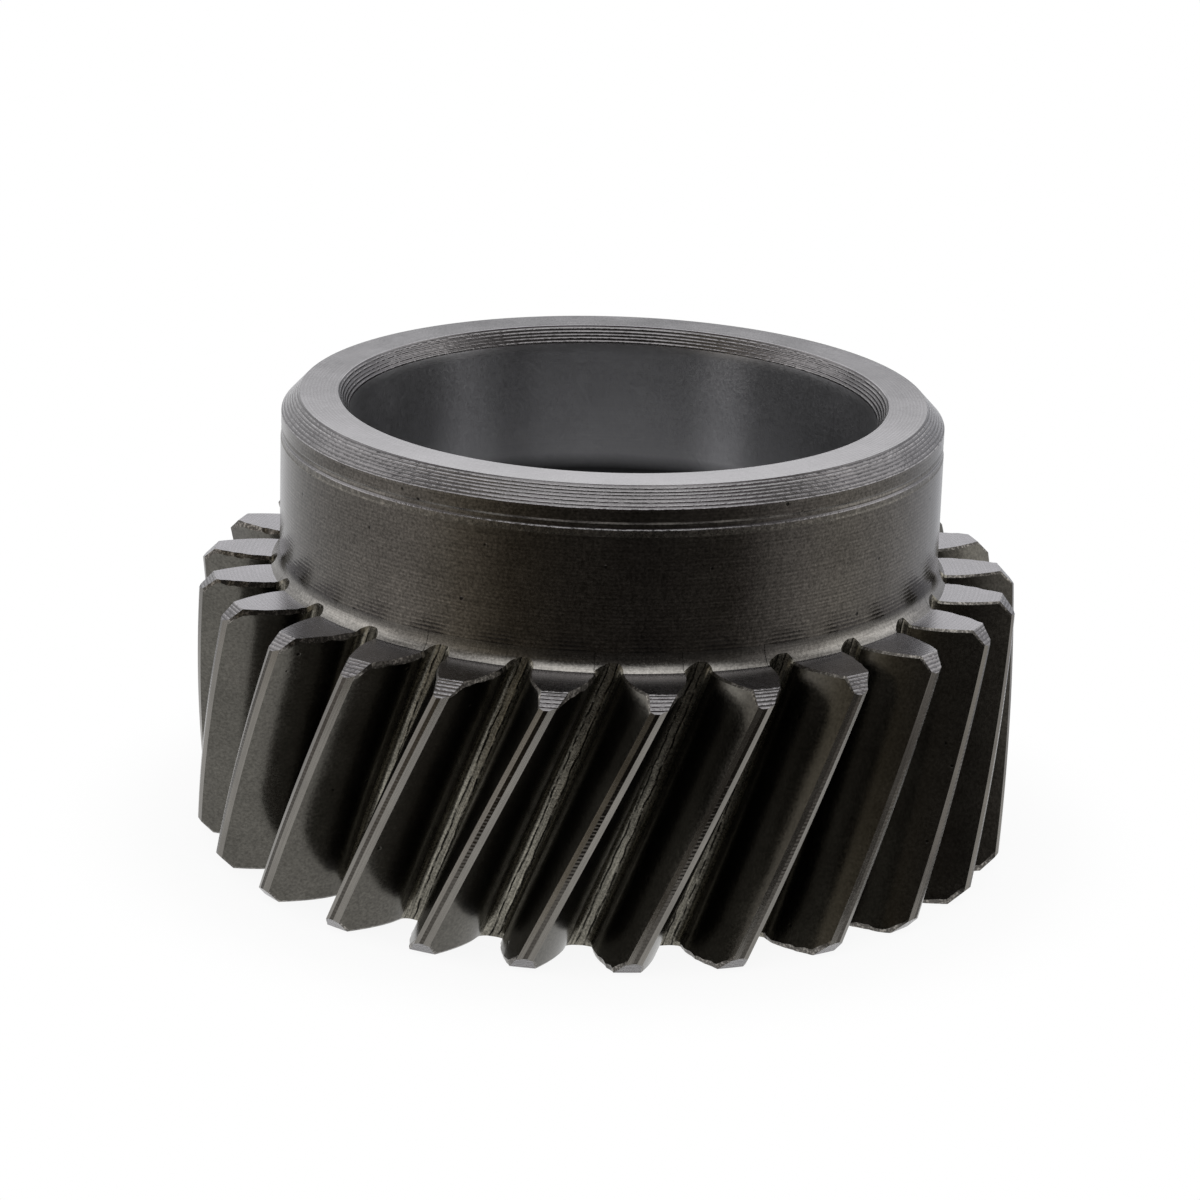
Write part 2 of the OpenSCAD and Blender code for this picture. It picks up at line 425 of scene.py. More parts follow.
def closed(values, step=0):
    """A grid with its first column added again after its last, plus a step."""
    return np.concatenate([values, values[:, :1] + step], 1)


def smooth_noise(rng, shape, width):
    """Random values from 0 to 1 with neighbours along the last axis averaged over so many columns."""
    raw = rng.random(shape)
    return sum(np.roll(raw, shift, -1) for shift in range(width)) / width


def fillet_arc(shape, size):
    """Middle radius, start height and foot radius of the fillet between hub and teeth: rc = rh + R,
    zc = w + h, rf = rc - sqrt(R * R - h * h)."""
    radius = size["hub_fillet"]
    middle_r = shape.root_r - size["hob_clearance"] + radius
    start_z = size["face_width"] + size["fillet_height"]
    return middle_r, start_z, middle_r - math.sqrt(radius ** 2 - size["fillet_height"] ** 2)


def end_height(r, shape, size):
    """Height of the upper end of the teeth at radius r: a 45 degree cone on the tips, the flat end face,
    and the circle of the fillet, z = zc - sqrt(R * R - (r - rc) ** 2), up to the hub."""
    middle_r, start_z, foot_r = fillet_arc(shape, size)
    z = size["face_width"] - np.maximum(0, r - (shape.tip_r - size["end_chamfer"]))
    curve = start_z - np.sqrt(np.maximum(0, size["hub_fillet"] ** 2 - (r - middle_r) ** 2))
    return np.where(r < foot_r, curve, z)


def tooth_ring(parts, shape, size):
    """The teeth from the lower end face round to the hub's foot, as one grid. A column is a point of the
    section across the axis, (r, a), carried up the helix: angle = a + k z. A row is a height on the flanks,
    or a ring on an end face at min(r, ring radius), so that a ring stops where a tooth space cuts it. Near
    both ends a flank is moved into the tooth by the deburring bevel, whose width and length vary along the
    edge. Returns the point numbers and angles of the first and the last row."""
    rng = np.random.default_rng(RAGGED_SEED)
    teeth = size["teeth"]
    radii, angles, strips = shape.section()
    n = len(radii)
    r = np.tile(radii, teeth)
    tooth = np.repeat(np.arange(teeth), n)
    a = np.tile(angles, teeth) + 2 * shape.half_pitch * tooth
    strip = np.tile(strips, teeth)
    side = np.tile(np.sign(angles), teeth)
    chamfer_r = shape.tip_r - size["end_chamfer"]
    low_z = np.maximum(0, r - chamfer_r)
    high_z = end_height(r, shape, size)

    # Deburring: the edge on the leaning side of a tooth is sharp, the other one blunt
    bevel_r = shape.tip_r - size["right_bevel_height"]
    below_tip = np.clip((bevel_r - r) / BEVEL_TIP_FADE, 0, 1)
    above_root = np.clip((r - shape.root_r) / BEVEL_ROOT_FADE, 0, 1)
    fade = below_tip * above_root
    bevels = []
    for sharp_side in (-1, 1):
        ragged = smooth_noise(rng, (teeth * n,), RAGGED_COLUMNS)
        raised = smooth_noise(rng, (teeth * n,), RAGGED_COLUMNS)
        sharp = side == sharp_side
        width = size["sharp_bevel_width"] * (RAGGED_WIDTH[0] + RAGGED_WIDTH[1] * ragged)
        width = np.where(sharp, width, size["blunt_bevel_width"])
        length = size["sharp_bevel_length"] * (RAGGED_LENGTH[0] + RAGGED_LENGTH[1] * ragged)
        length = np.where(sharp, length, size["blunt_bevel_length"])
        burr = size["burr"] * (RAGGED_BURR[0] + RAGGED_BURR[1] * raised)
        burr = np.where(sharp, burr, 0)
        bevels.append((width * fade, length, burr * fade))
    (low_w, low_l, low_burr), (high_w, high_l, high_burr) = bevels

    # Flank rows, each a height and how far the flank is moved into the tooth
    share = np.linspace(0, 1, HELIX_ROWS)[:, None]
    start = low_z + BEVEL_CLEAR * low_l
    end = high_z - BEVEL_CLEAR * high_l
    heights = np.concatenate([
        [low_z, low_z + low_l / 2, low_z + low_l], start + (end - start) * share,
        [high_z - high_l, high_z - high_l / 2, high_z]])
    moved = np.concatenate([
        [low_w, BEVEL_SAG * low_w, -low_burr], np.zeros((HELIX_ROWS, teeth * n)),
        [-high_burr, BEVEL_SAG * high_w, high_w]])
    flank_angle = a + shape.turn_per_mm * heights - side * moved / r
    flank_xyz = polar(r, flank_angle, heights)

    # Rings on the end faces, from the inside outwards below and from the outside inwards above
    root_ring = [shape.root_r - SOLE_ROOT_GAP]
    low_rings = np.array(SOLE_INNER_RINGS + root_ring + SOLE_OUTER_RINGS + [chamfer_r])[:, None]
    low_r = np.minimum(r, low_rings)
    low_xyz = polar(low_r, flank_angle[0], 0.0)
    middle_r, _, foot_r = fillet_arc(shape, size)
    swing = np.linspace(math.acos((middle_r - foot_r) / size["hub_fillet"]), 0, FILLET_ROWS)
    face_rings = [chamfer_r] + FACE_RINGS
    high_rings = np.concatenate([face_rings, middle_r - size["hub_fillet"] * np.cos(swing)])[:, None]
    high_r = np.minimum(r, high_rings)
    high_xyz = polar(high_r, flank_angle[-1], end_height(high_r, shape, size))

    flank_numbers = parts.add_points(flank_xyz)
    low_numbers = np.where(low_rings >= r - TOUCH, flank_numbers[0], parts.add_points(low_xyz))
    high_numbers = np.where(high_rings >= r - TOUCH, flank_numbers[-1], parts.add_points(high_xyz))
    numbers = np.concatenate([low_numbers, flank_numbers, high_numbers])

    # Lay: distance along the section, distance along the tooth or the radius, tooth number
    step = np.hypot(np.diff(r, append=r[0]), r * np.diff(a, append=a[0] + 2 * PI))
    across = np.concatenate([[0], np.cumsum(step)])
    columns = np.append(tooth, teeth).astype(float)
    cone = (math.sqrt(2) - 1) * np.maximum(0, r - chamfer_r)
    on_fillet = np.maximum(0, end_height(high_r, shape, size) - size["face_width"])
    along = closed(np.concatenate([low_r - SOLE_LAY_R, heights, FACE_LAY_R - high_r + on_fillet]))
    pitch_length = across[-1] / teeth
    # On a tooth's second half the distance counts back to the middle of the next space
    local = across - pitch_length * np.floor(np.arange(len(across)) / n)
    local = np.where(local > pitch_length / 2, local - pitch_length, local)
    local[-1] = 0
    lay = np.stack(np.broadcast_arrays(local, along, columns), -1)

    # Finishes: strips along the teeth, bevel rows at their ends, turned cones and faces, the fillet
    rows = len(numbers) - 1
    finish = np.empty((rows, teeth * n), int)
    by_strip = np.array([FINISH_NUMBER[s] for s in strip])
    finish[:] = by_strip
    low_count = len(low_rings)
    high_start = low_count + len(heights)
    on_flank = strip == "flank"
    for row in (low_count, low_count + 1, high_start - 3, high_start - 2):
        finish[row, on_flank] = FINISH_NUMBER["edge"]
    finish[:low_count] = FINISH_NUMBER["end_face"]
    finish[high_start - 1:] = FINISH_NUMBER["end_face"]
    finish[high_start + len(face_rings):] = FINISH_NUMBER["fillet"]
    on_cone = r > chamfer_r - TOUCH
    finish[low_count - 1, on_cone] = FINISH_NUMBER["chamfer"]
    finish[high_start - 1, on_cone] = FINISH_NUMBER["chamfer"]

    # The tips' cones carry on the lay of the end faces, so the outermost flank rows have a second lay
    # there. The last column of a tooth joins the first column of the next one with a lay that runs on.
    wrapped = closed(numbers)
    cone_r = np.append(r + cone, r[0] + cone[0])
    below = lay[:-1].copy()
    below[high_start - 1, :, 1] = FACE_LAY_R - cone_r
    above = lay[1:].copy()
    above[low_count - 1, :, 1] = cone_r - SOLE_LAY_R
    ends = np.arange(n, len(r) + 1, n)
    below_right = below.copy()
    below_right[:, ends, 0] = 0
    above_right = above.copy()
    above_right[:, ends, 0] = 0
    parts_lay = np.stack([below[:, :-1], below_right[:, 1:], above_right[:, 1:], above[:, :-1]], 2)
    corners = np.stack([wrapped[:-1, :-1], wrapped[:-1, 1:], wrapped[1:, 1:], wrapped[1:, :-1]], 2)
    parts.add_faces(corners.reshape(-1, 4), parts_lay.reshape(-1, 4, 3), finish.reshape(-1))
    return numbers[0], numbers[-1], flank_angle[0], flank_angle[-1]


def broken_corners(points, width):
    """A line of points with each inner corner replaced by two points, so far to both sides of it."""
    before, corner, after = points[:-2], points[1:-1], points[2:]
    def towards(target):
        way = target - corner
        distance = np.linalg.norm(way, axis=1, keepdims=True)
        return corner + way / distance * np.minimum(width, distance / 3)
    pairs = np.stack([towards(before), towards(after)], 1).reshape(-1, 2)
    return np.concatenate([points[:1], pairs, points[-1:]])


def hub_and_bore(parts, shape, size, foot, sole, foot_angle, sole_angle):
    """The hub, its end and the bore, turned: each row is a point (r, z) of the half section carried round
    the axis, (r cos a, r sin a, z). The columns follow the teeth, so down the bore they turn back by what
    the helix has turned them, less one tooth. The grid is joined to the teeth at the hub's foot and on the
    lower face."""
    hub_r = shape.root_r - size["hob_clearance"]
    bore_r = size["bore_diameter"] / 2
    mouth_r = bore_r + size["bore_chamfer_width"]
    height = size["face_width"] + size["hub_length"]
    foot_z = size["face_width"] + size["fillet_height"]
    join_z = foot_z + HUB_JOIN_HEIGHT
    seat_z = height - size["seat_length"]
    groove_z = seat_z - size["groove_width"]
    groove_middle_z = groove_z + size["groove_width"] / 2
    band_z = groove_z - size["band_length"]
    track_z = groove_z - size["track_gap"]
    seat_r = hub_r - size["seat_drop"]
    band_r = hub_r - size["band_drop"]
    top_r = seat_r - size["hub_chamfer_width"]
    chamfer_z = size["bore_chamfer_length"]

    hub_rows = [(hub_r, foot_z + row) for row in HUB_ROWS]
    hub = np.array([(hub_r, join_z)] + hub_rows + [
        (hub_r, band_z - size["torn_length"]), (band_r, band_z),
        (band_r, track_z - size["track_width"]), (band_r - size["track_depth"], track_z),
        (band_r, groove_z - TRACK_LIP * size["track_gap"]), (band_r, groove_z),
        (hub_r - size["groove_depth"], groove_middle_z), (seat_r, seat_z)])
    hub_names = ["hub"] * 4 + ["torn", "torn", "chamfer"] + ["hub"] * 5
    wall_top = height - chamfer_z - BORE_MARGIN
    wall_foot = chamfer_z + BORE_MARGIN
    end = broken_corners(np.array([
        (seat_r, seat_z), (seat_r, height - size["hub_chamfer_length"]), (top_r, height),
        (mouth_r, height), (bore_r, height - chamfer_z), (bore_r, wall_top)]), size["edge_break"])[1:]
    end_names = ["chamfer"] * 3 + ["turned"] * 2 + ["chamfer"] * 2 + ["bore"] * 2
    wall_z = np.linspace(wall_top, wall_foot, BORE_ROWS)[1:]
    wall = np.stack([np.full(len(wall_z), bore_r), wall_z], 1)
    low = broken_corners(np.array([
        (bore_r, wall_foot), (bore_r, chamfer_z), (mouth_r, 0), (SOLE_JOIN_R, 0)]), size["edge_break"])[1:]
    low_names = ["chamfer"] * 2 + ["end_face"] * 3
    line = np.concatenate([hub, end, wall, low])
    names = hub_names + end_names + ["bore"] * len(wall) + low_names

    columns = foot_angle[::HUB_SHARE]
    sole_columns = np.roll(sole_angle[::HUB_SHARE], -len(columns) // size["teeth"])
    # Back turn of each column down the bore, brought to half a turn or less
    back_turn = (sole_columns - columns + PI) % (2 * PI) - PI
    down = np.clip((height - TURN_MARGIN - line[:, 1]) / (height - 2 * TURN_MARGIN), 0, 1)
    in_bore = np.arange(len(line)) >= len(hub) + len(end)
    angle = columns + back_turn * np.where(in_bore, down, 0)[:, None]
    numbers = parts.add_points(polar(line[:, :1], angle, line[:, 1:]))
    along = np.concatenate([[0], np.cumsum(np.hypot(*np.diff(line, axis=0).T))])
    around = np.append(columns, columns[0] + 2 * PI) * hub_r
    lay = np.stack(np.broadcast_arrays(around, along[:, None] + join_z, 0.0), -1)
    finish = np.array([FINISH_NUMBER[n] for n in names[:-1]])[:, None]
    parts.add_grid(closed(numbers), lay, finish)

    # Joining rings: four fine columns to one coarse one
    def join(fine, coarse, fine_y, coarse_y, fine_first, finish_name):
        """Triangles between two rings, fans of fine points round each coarse one, with their lay."""
        count = len(coarse)
        f = np.append(fine, fine[0])
        c = np.append(coarse, coarse[0])
        k = np.arange(count) * HUB_SHARE
        fans = []
        for step in range(HUB_SHARE):
            apex = c[:-1] if step < HUB_SHARE // 2 else c[1:]
            fans.append(np.stack([f[k + step], f[k + step + 1], apex], 1))
        middle = k + HUB_SHARE // 2
        fans.append(np.stack([f[middle], c[1:], c[:-1]], 1))
        corners = np.concatenate(fans)
        if not fine_first:
            corners = corners[:, ::-1]
        is_fine = np.isin(corners, fine)
        y = np.where(is_fine, fine_y, coarse_y)
        join_lay = np.stack([np.zeros_like(y), y, np.zeros_like(y)], -1)
        parts.add_faces(corners, join_lay, np.full(len(corners), FINISH_NUMBER[finish_name]))
    join(foot, numbers[0], foot_z, join_z, True, "hub")
    sole_y = SOLE_INNER_RINGS[0] - SOLE_LAY_R
    join_y = SOLE_JOIN_R - SOLE_LAY_R
    join(np.roll(sole, -len(sole) // size["teeth"]), numbers[-1], sole_y, join_y, False, "end_face")


def add_node(tree, kind, inputs=None, **settings):
    """Adds a shader node with its settings and returns its outputs. Each input, by name or number, is
    linked to a socket or set to a value."""
    node = tree.nodes.new("ShaderNode" + kind)
    for key, value in settings.items():
        setattr(node, key, value)
    for key, value in (inputs or {}).items():
        if isinstance(value, bpy.types.NodeSocket):
            tree.links.new(value, node.inputs[key])
        else:
            node.inputs[key].default_value = value
    return node.outputs


def scaled(tree, start, steps, ease="LINEAR"):
    """A number times one factor for each step, (value, low, high, factor at low, factor at high)."""
    product = start
    for value, low, high, below, above in steps:
        ends = {0: value, 1: low, 2: high, 3: below, 4: above}
        factor = add_node(tree, "MapRange", ends, interpolation_type=ease)[0]
        product = add_node(tree, "Math", {0: product, 1: factor}, operation="MULTIPLY")[0]
    return product


def empty_tree(material):
    """The cleared node tree of a material or a world."""
    material.use_nodes = True
    material.node_tree.nodes.clear()
    return material.node_tree


def steel_material(
        name, colour, rough, grain, clouds=0.12, streaks=None, feed=None, drag=None, lines=None, beads=None,
        bands=None, worn=None, pits=None, stain=None):
    """Steel as one cut left it. Sizes and depths are in millimetres.
    grain is (size, depth, change of colour). clouds is the change of colour by the oil film.
    streaks is (length, width, depth, change of colour), round the axis.
    feed is (pitch, depth, change of colour, height where the lines fade to a half or 0, sharpness), across
    the lay.
    drag is (width, length, change of colour), along the teeth.
    lines is (distance from the middle of the tooth space, width, darkest), a dark pair along the roots.
    beads is (size, depth, darkest, brightest), ragged spots: bumps with painted glints on the raised metal
    and painted shade in the hollows.
    bands is a list of (compass degrees, half width in degrees, gain), painted reflections as soft stripes
    along the axis.
    worn is (start, end, gain), a painted highlight: a lay from which the steel gets brighter.
    pits is (spacing, radius), dark specks. stain is (height, half width, darkest), a ring of painted shade."""
    material = bpy.data.materials.new(name)
    tree = empty_tree(material)
    place = add_node(tree, "TexCoord")["Object"]
    lay = add_node(tree, "Attribute", attribute_name="lay")["Vector"]
    across, along, _ = add_node(tree, "SeparateXYZ", {0: lay})

    # Oil film: soft clouds a few millimetres wide change the colour and the gloss a little
    film = add_node(tree, "TexNoise", {
        "Vector": place, "Scale": 1 / (FILM_SIZE * MM), "Detail": 4.0, "Roughness": 0.6})[0]
    gains = [(film, *NOISE_SPAN, 1 - clouds, 1 + clouds)]
    # Gains of the painted reflections, eased in smoothly
    reflection_gains = []
    # Grain: the fine sparkle of etched and oiled steel, drawn coarser than it is so that it shows
    size, depth, change = grain
    grit = add_node(tree, "TexNoise", {
        "Vector": place, "Scale": 1 / (size * MM), "Detail": 2.0, "Roughness": 0.6})[0]
    gains.append((grit, *NOISE_SPAN, 1 - change, 1 + change))
    bumps = [(grit, depth)]
    roughness = scaled(tree, rough, [
        (film, *NOISE_SPAN, 1 - clouds, 1 + clouds),
        (grit, *NOISE_SPAN, 1 - GRAIN_GLOSS, 1 + GRAIN_GLOSS)])
    if streaks:
        # Turning streaks: long round the axis and thin along it
        length, width, depth, change = streaks
        stretch = (1 / (length * MM), 1 / (length * MM), 1 / (width * MM))
        stretched = add_node(tree, "VectorMath", {0: place, 1: stretch}, operation="MULTIPLY")[0]
        streak = add_node(tree, "TexNoise", {
            "Vector": stretched, "Scale": 1.0, "Detail": 2.0, "Roughness": 0.6})[0]
        gains.append((streak, *NOISE_SPAN, 1 - change, 1 + change))
        bumps.append((streak, depth))
    if feed:
        # Feed lines: crests at the pitch of the feed, which wander a little. Their strength changes from
        # line to line and along each line
        pitch, depth, change, fade_z, sharpness = feed
        turns = add_node(tree, "Math", {0: along, 1: 1 / pitch}, operation="MULTIPLY")[0]
        wander = add_node(
            tree, "TexNoise", {"W": turns, "Scale": 0.15, "Detail": 1.0}, noise_dimensions="1D")[0]
        moved = add_node(tree, "Math", {0: turns, 1: wander}, operation="ADD")[0]
        swing = add_node(tree, "Math", {0: moved, 1: 2 * PI}, operation="MULTIPLY")[0]
        wave = add_node(tree, "Math", {0: swing}, operation="SINE")[0]
        crest = add_node(tree, "MapRange", {0: wave, 1: -1.0, 2: 1.0, 3: 0.0, 4: 1.0})[0]
        crest = add_node(tree, "Math", {0: crest, 1: sharpness}, operation="POWER")[0]
        uneven = add_node(
            tree, "TexNoise", {"W": turns, "Scale": 0.6, "Detail": 1.0}, noise_dimensions="1D")[0]
        dashes = add_node(tree, "TexNoise", {
            "Vector": place, "Scale": 1 / (DASH_SIZE * MM), "Detail": 2.0})[0]
        strengths = [(uneven, *NOISE_SPAN, 0.6, 1.0), (dashes, 0.3, 0.6, 0.4, 1.0)]
        if fade_z:
            strengths.append((along, fade_z - FADE_LENGTH, fade_z, 1.0, 0.5))
        ridge = scaled(tree, crest, strengths)
        gains.append((ridge, 0.0, 0.8, 1 - change, 1 + 2 * change))
        bumps.append((ridge, depth))
    if drag:
        # Drag marks of the hob: thin and long, along the tooth, and different on each tooth
        width, length, change = drag
        stretch = (1 / width, 1 / length, 7.3)
        stretched = add_node(tree, "VectorMath", {0: lay, 1: stretch}, operation="MULTIPLY")[0]
        mark = add_node(tree, "TexNoise", {"Vector": stretched, "Scale": 1.0, "Detail": 2.0})[0]
        gains.append((mark, *NOISE_SPAN, 1 - change, 1 + change))
        bumps.append((mark, DRAG_DEPTH))
    if lines:
        # Dark pair of lines along the floor of a tooth space, which sway a little and break off
        distance, width, darkest = lines
        stretched = add_node(tree, "VectorMath", {0: lay, 1: (0.6, 0.5, 5.1)}, operation="MULTIPLY")[0]
        sway = add_node(tree, "TexNoise", {"Vector": stretched, "Scale": 1.0, "Detail": 3.0})[0]
        shift = add_node(
            tree, "MapRange", {0: sway, 1: 0.0, 2: 1.0, 3: -ROOT_LINE_SWAY, 4: ROOT_LINE_SWAY})[0]
        moved = add_node(tree, "Math", {0: across, 1: shift}, operation="ADD")[0]
        aside = add_node(tree, "Math", {0: moved}, operation="ABSOLUTE")[0]
        off = add_node(tree, "Math", {0: aside, 1: distance}, operation="SUBTRACT")[0]
        off = add_node(tree, "Math", {0: off}, operation="ABSOLUTE")[0]
        beside = add_node(tree, "MapRange", {0: off, 1: width / 2, 2: width, 3: 0.0, 4: 1.0})[0]
        stretched = add_node(tree, "VectorMath", {0: lay, 1: (0.2, 0.9, 3.7)}, operation="MULTIPLY")[0]
        broken = add_node(tree, "TexNoise", {"Vector": stretched, "Scale": 1.0, "Detail": 2.0})[0]
        gap = add_node(tree, "MapRange", {0: broken, 1: 0.5, 2: 0.65, 3: 0.0, 4: 0.8})[0]
        open_metal = add_node(tree, "Math", {0: beside, 1: gap}, operation="MAXIMUM")[0]
        gains.append((open_metal, 0.0, 1.0, darkest, 1.0))
        bumps.append((open_metal, ROOT_LINE_DEPTH))
    if beads:
        # Ragged edge: torn metal with bumps, painted glints on the raised spots and painted shade in the
        # dark hollows
        size, depth, darkest, brightest = beads
        torn = add_node(tree, "TexNoise", {"Vector": place, "Scale": 1 / (size * MM), "Detail": 2.0})[0]
        gains.append((torn, 0.48, 0.66, darkest, brightest))
        bumps.append((torn, depth))
    if bands:
        # Painted reflections: soft light and dark stripes along the axis, fixed round the bore where the
        # studio would be mirrored. The compass is 0 at the back, the right is positive
        x, y, _ = add_node(tree, "SeparateXYZ", {0: place})
        compass = add_node(tree, "Math", {0: x, 1: y}, operation="ARCTAN2")[0]
        for degrees, half_width, gain in bands:
            off = add_node(tree, "Math", {0: compass, 1: math.radians(degrees)}, operation="SUBTRACT")[0]
            off = add_node(tree, "Math", {0: off}, operation="ABSOLUTE")[0]
            reflection_gains.append((off, 0.0, math.radians(half_width), gain, 1.0))
    if worn:
        # Painted highlight: brighter towards the corner with the end face
        start, end, gain = worn
        gains.append((along, start, end, 1.0, gain))
    if stain:
        # Painted shade: a dark ring round the bore, with soft edges
        height, half_width, darkest = stain
        _, _, z = add_node(tree, "SeparateXYZ", {0: place})
        off = add_node(tree, "Math", {0: z, 1: height * MM}, operation="SUBTRACT")[0]
        off = add_node(tree, "Math", {0: off}, operation="ABSOLUTE")[0]
        gains.append((off, 0.3 * half_width * MM, half_width * MM, darkest, 1.0))
    if pits:
        # Specks: small dark hollows, far apart
        spacing, radius = pits
        cell = add_node(tree, "TexVoronoi", {"Vector": place, "Scale": 1 / (spacing * MM)})[0]
        edge = radius / spacing
        open_metal = add_node(tree, "MapRange", {0: cell, 1: 0.6 * edge, 2: edge, 3: 0.0, 4: 1.0})[0]
        gains.append((open_metal, 0.0, 1.0, PIT_DARK, 1.0))
        bumps.append((open_metal, PIT_DEPTH))
    gain = scaled(tree, scaled(tree, 1.0, gains), reflection_gains, "SMOOTHSTEP")
    tint = add_node(tree, "VectorMath", {0: tuple(colour)[:3], 1: gain}, operation="MULTIPLY")[0]
    normal = {}
    for height, depth in bumps:
        bump = add_node(tree, "Bump", {"Height": height, "Distance": depth * MM, **normal})[0]
        normal = {"Normal": bump}
    shader = add_node(tree, "BsdfPrincipled", {
        "Base Color": tint, "Roughness": roughness, "Metallic": 1.0, **normal})[0]
    add_node(tree, "OutputMaterial", {"Surface": shader})
    return material


def gear_materials(finish):
    """The finishes of the steel, in the order of the material slots."""
    return [
        # Hardened and oiled hub: brown-black satin with a lively grain, and feed lines that are clearest at
        # its foot
        steel_material(
            "Oiled_hardened_steel_hub", finish.hub, 0.2, (0.24, 0.006, 0.4),
            streaks=(6, 0.12, 0.001, 0.12), feed=(0.35, 0.012, 0.16, 33, 1.0), pits=(2.6, 0.2)),
        # Torn band under the groove: as dark as the hub, with ragged marks and painted glints on them
        steel_material(
            "Torn_steel_line", finish.torn, 0.3, (0.15, 0.008, 0.3), beads=(0.4, 0.04, 0.8, 1.4)),
        # Turned end of the hub: silver with fine feed lines
        steel_material(
            "Turned_steel_hub_end", finish.turned, 0.12, (0.15, 0.0006, 0.1),
            feed=(0.3, 0.0008, 0.06, 0, 1.0)),
        # Turned chamfers: grey with sharp, light feed lines a third of a millimetre apart
        steel_material(
            "Turned_steel_chamfers", finish.chamfer, 0.2, (0.15, 0.004, 0.2),
            feed=(0.345, 0.055, 0.2, 0, 1.4)),
        # Fillet at the hub's foot: streaked by the forming tool, with a painted highlight where it meets
        # the end face
        steel_material(
            "Formed_steel_fillet", finish.fillet, 0.24, (0.22, 0.006, 0.3),
            streaks=(4, 0.1, 0.003, 0.2), worn=(37.2, 36.0, 2.2)),
        # Turned end faces of the teeth: a duller grey, scuffed, with fine feed lines
        steel_material(
            "Turned_steel_tooth_ends", finish.end_face, 0.26, (0.3, 0.003, 0.14),
            feed=(0.35, 0.002, 0.06, 0, 1.0)),
        # Lands on the tooth tips: left from the turned blank, with its feed lines across them
        steel_material(
            "Turned_steel_tip_lands", finish.land, 0.14, (0.2, 0.003, 0.2),
            feed=(0.35, 0.012, 0.1, 0, 1.0)),
        # Long bevels along the tips: smooth and light, with faint marks along the tooth
        steel_material(
            "Planed_steel_tip_bevels", finish.tip_bevel, 0.26, (0.2, 0.001, 0.05), drag=(0.12, 9, 0.12)),
        # Smooth flanks: a dark half mirror with a fine grain
        steel_material("Rolled_steel_flanks", finish.flank, 0.21, (0.26, 0.004, 0.28), pits=(3, 0.2)),
        # Hobbed roots: dull olive grey and grainy with drag marks, and a broken pair of dark lines along
        # the space
        steel_material(
            "Hobbed_steel_roots", finish.root, 0.28, (0.2, 0.012, 0.5),
            drag=(0.14, 4, 0.5), lines=(0.36, 0.09, 0.1)),
        # Deburred edges: dark and ragged, with painted glints as bright spots and painted shade in the
        # hollows
        steel_material(
            "Deburred_steel_edges", finish.edge, 0.3, (0.16, 0.01, 0.2), beads=(0.25, 0.02, 0.7, 2.2)),
        # Honed bore: an even grey satin with painted reflections as soft stripes along it and a ring of
        # painted shade down the bore
        steel_material(
            "Honed_steel_bore", finish.bore, 0.34, (0.3, 0.0002, 0.02), clouds=0.04,
            streaks=(14, 0.2, 0.0003, 0.02),
            bands=[(-36, 11, 1.6), (-22, 7, 0.8), (27, 11, 1.8), (-66, 14, 1.3), (66, 18, 1.25)],
            stain=(26.8, 2.2, 0.1)),
    ]


def sizes_in_mm(sizes):
    """The property group's values as a plain dictionary, lengths in millimetres."""
    values = {}
    for name, prop in sizes.bl_rna.properties.items():
        if name in ("rna_type", "name"):
            continue
        value = getattr(sizes, name)
        values[name] = value / MM if prop.unit == "LENGTH" else value
    return values


class GEAR_OT_make_gear(bpy.types.Operator):
    """Build the gear's steel body in place of its solid"""
    bl_idname = "gear.make_gear"
    bl_label = "Make gear"

    def execute(self, context):
        size = sizes_in_mm(context.scene.gear_sizes)
        shape = ToothShape(size)
        parts = MeshParts()
        sole, foot, sole_angle, foot_angle = tooth_ring(parts, shape, size)
        hub_and_bore(parts, shape, size, foot, sole, foot_angle, sole_angle)
        gear = bpy.data.objects.new("steel_gear", parts.mesh("steel_gear"))
        context.scene.collection.objects.link(gear)
        for material in gear_materials(context.scene.gear_finish):
            gear.data.materials.append(material)
        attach(gear, "root")
        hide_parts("gear")
        return {"FINISHED"}


def camera_axes(stage):
    """Right, up and backward directions of the camera: it looks along (sin y cos p, cos y cos p, -sin p)
    and is rolled about that line."""
    look = np.array([
        math.sin(stage.yaw) * math.cos(stage.pitch), math.cos(stage.yaw) * math.cos(stage.pitch),
        -math.sin(stage.pitch)])
    right = np.array([math.cos(stage.yaw), -math.sin(stage.yaw), 0.0])
    up = np.cross(right, look)
    c, s = math.cos(stage.roll), math.sin(stage.roll)
    return c * right + s * up, c * up - s * right, -look


